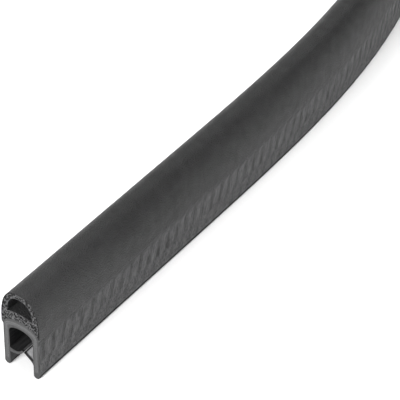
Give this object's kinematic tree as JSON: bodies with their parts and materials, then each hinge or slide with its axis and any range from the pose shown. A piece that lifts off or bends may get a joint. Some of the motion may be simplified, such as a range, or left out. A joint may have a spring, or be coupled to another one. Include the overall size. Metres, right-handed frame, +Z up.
{
  "type": "edge trim seal",
  "caption": "Clip-on edge trim with a hollow sponge bulb: the U-shaped clip grips a sheet's edge and the bulb seals against a door or lid.",
  "frame": {"origin": "middle of the strip's bounding box, on the floor under the clip's feet", "axes": "+Y along the strip from its near end to its far end, +X to the right seen from the near end, +Z up from the clip's open side to the bulb"},
  "size_m": [0.0652, 0.9926, 0.0215],
  "materials": {
    "soft_pvc": "satin, embossed on the outer sides",
    "spring_steel": "plain, seen only at the cut ends",
    "sponge_rubber": "matte skin, open pores on the cut ends"
  },
  "bodies": {
    "root": {"clip_profile": "soft_pvc", "steel_insert": "spring_steel", "sponge_bulb": "sponge_rubber"}
  },
  "joints": []
}
